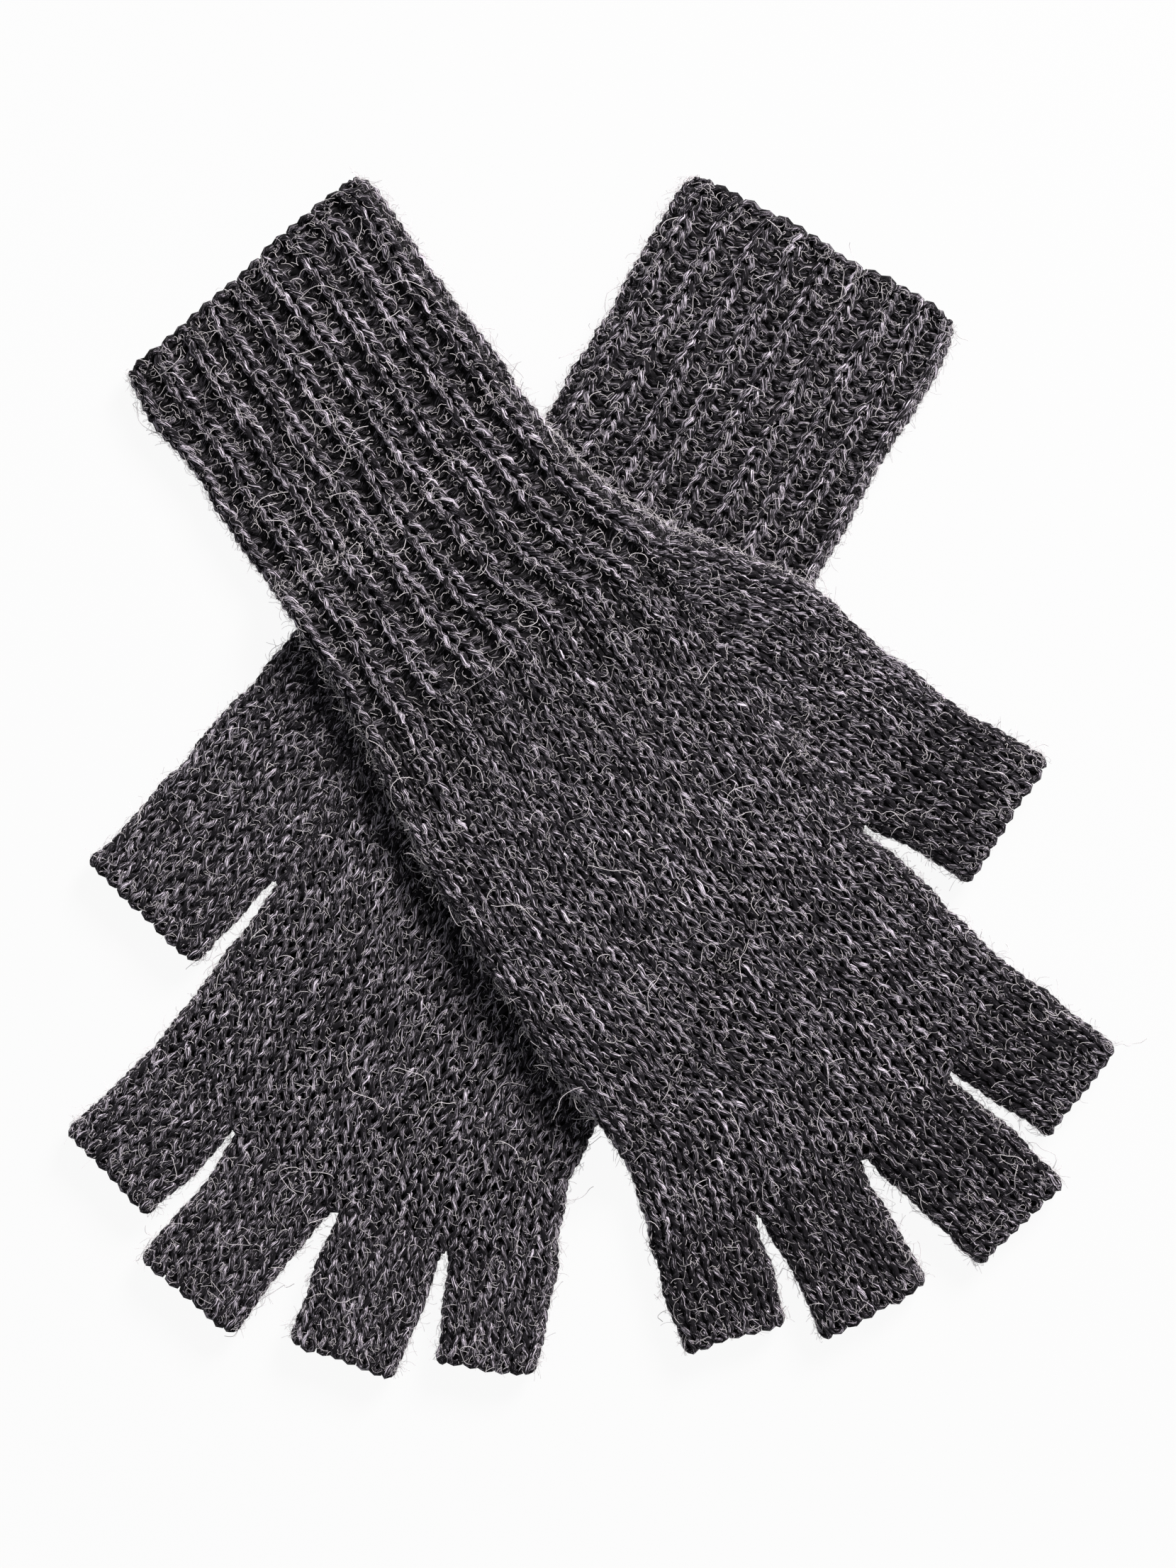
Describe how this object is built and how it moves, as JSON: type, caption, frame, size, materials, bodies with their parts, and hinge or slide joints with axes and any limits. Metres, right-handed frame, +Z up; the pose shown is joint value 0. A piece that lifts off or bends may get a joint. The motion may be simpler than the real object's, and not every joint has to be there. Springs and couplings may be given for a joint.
{
  "type": "fingerless gloves",
  "caption": "Knitted fingerless gloves with long ribbed cuffs and open-ended thumb and finger tubes, lying flat, the right glove laid across the left.",
  "frame": {"origin": "on the table, under the middle of the crossed pair's bounding box", "axes": "+Z up from the table, +Y from the fingers towards the cuffs' mouths, +X towards the side where the right glove's fingers lie"},
  "size_m": [0.2361, 0.2732, 0.017],
  "materials": {
    "plain_knit": "charcoal marl wool in plain knit",
    "rib_knit": "charcoal marl wool in two-by-one rib",
    "edge_knit": "charcoal marl wool, cast-on and bound-off edges"
  },
  "bodies": {
    "left_glove": {"left_wrist_rib": "rib_knit", "left_hand": "plain_knit"},
    "left_cuff": {"left_cuff_edge": "edge_knit", "left_cuff_rib": "rib_knit"},
    "left_little": {"left_little": "plain_knit", "left_little_edge": "edge_knit"},
    "left_ring": {"left_ring": "plain_knit", "left_ring_edge": "edge_knit"},
    "left_middle": {"left_middle": "plain_knit", "left_middle_edge": "edge_knit"},
    "left_index": {"left_index": "plain_knit", "left_index_edge": "edge_knit"},
    "left_thumb": {"left_thumb": "plain_knit", "left_thumb_edge": "edge_knit"},
    "right_glove": {"right_wrist_rib": "rib_knit", "right_hand": "plain_knit"},
    "right_cuff": {"right_cuff_edge": "edge_knit", "right_cuff_rib": "rib_knit"},
    "right_little": {"right_little": "plain_knit", "right_little_edge": "edge_knit"},
    "right_ring": {"right_ring": "plain_knit", "right_ring_edge": "edge_knit"},
    "right_middle": {"right_middle": "plain_knit", "right_middle_edge": "edge_knit"},
    "right_index": {"right_index": "plain_knit", "right_index_edge": "edge_knit"},
    "right_thumb": {"right_thumb": "plain_knit", "right_thumb_edge": "edge_knit"}
  },
  "joints": [
    {"name": "right_glove_lift", "type": "slide", "parent": "left_glove", "child": "right_glove", "axis": [0, 0, 1], "range_m": [0, 0.12]},
    {"name": "left_cuff_turn", "type": "hinge", "parent": "left_glove", "child": "left_cuff", "pos_m": [0.0298, 0.07866, 0.0082], "axis": [0.866, -0.5, 0], "range_deg": [0, 110]},
    {"name": "left_little_fold", "type": "hinge", "parent": "left_glove", "child": "left_little", "pos_m": [-0.01961, -0.10994, 0.0082], "axis": [-0.9842, 0.1771, 0], "range_deg": [0, 90]},
    {"name": "left_ring_fold", "type": "hinge", "parent": "left_glove", "child": "left_ring", "pos_m": [-0.04499, -0.10275, 0.0082], "axis": [-0.9323, 0.3616, 0], "range_deg": [0, 90]},
    {"name": "left_middle_fold", "type": "hinge", "parent": "left_glove", "child": "left_middle", "pos_m": [-0.06865, -0.08931, 0.0082], "axis": [-0.7912, 0.6115, 0], "range_deg": [0, 90]},
    {"name": "left_index_fold", "type": "hinge", "parent": "left_glove", "child": "left_index", "pos_m": [-0.08925, -0.07082, 0.0082], "axis": [-0.6921, 0.7218, 0], "range_deg": [0, 90]},
    {"name": "left_thumb_fold", "type": "hinge", "parent": "left_glove", "child": "left_thumb", "pos_m": [-0.08375, -0.01252, 0.0082], "axis": [-0.7169, 0.6972, 0], "range_deg": [0, 90]},
    {"name": "right_cuff_turn", "type": "hinge", "parent": "right_glove", "child": "right_cuff", "pos_m": [-0.05201, 0.07472, 0.0082], "axis": [0.8192, 0.5736, 0], "range_deg": [0, 110]},
    {"name": "right_little_fold", "type": "hinge", "parent": "right_glove", "child": "right_little", "pos_m": [0.02492, -0.10366, 0.0082], "axis": [-0.9483, -0.3173, 0], "range_deg": [0, 90]},
    {"name": "right_ring_fold", "type": "hinge", "parent": "right_glove", "child": "right_ring", "pos_m": [0.04911, -0.0931, 0.0082], "axis": [-0.8788, -0.4772, 0], "range_deg": [0, 90]},
    {"name": "right_middle_fold", "type": "hinge", "parent": "right_glove", "child": "right_middle", "pos_m": [0.07058, -0.07647, 0.0082], "axis": [-0.6858, -0.7278, 0], "range_deg": [0, 90]},
    {"name": "right_index_fold", "type": "hinge", "parent": "right_glove", "child": "right_index", "pos_m": [0.08836, -0.05522, 0.0082], "axis": [-0.5948, -0.8039, 0], "range_deg": [0, 90]},
    {"name": "right_thumb_fold", "type": "hinge", "parent": "right_glove", "child": "right_thumb", "pos_m": [0.07162, 0.00273, 0.0082], "axis": [-0.515, -0.8572, 0], "range_deg": [0, 90]}
  ]
}
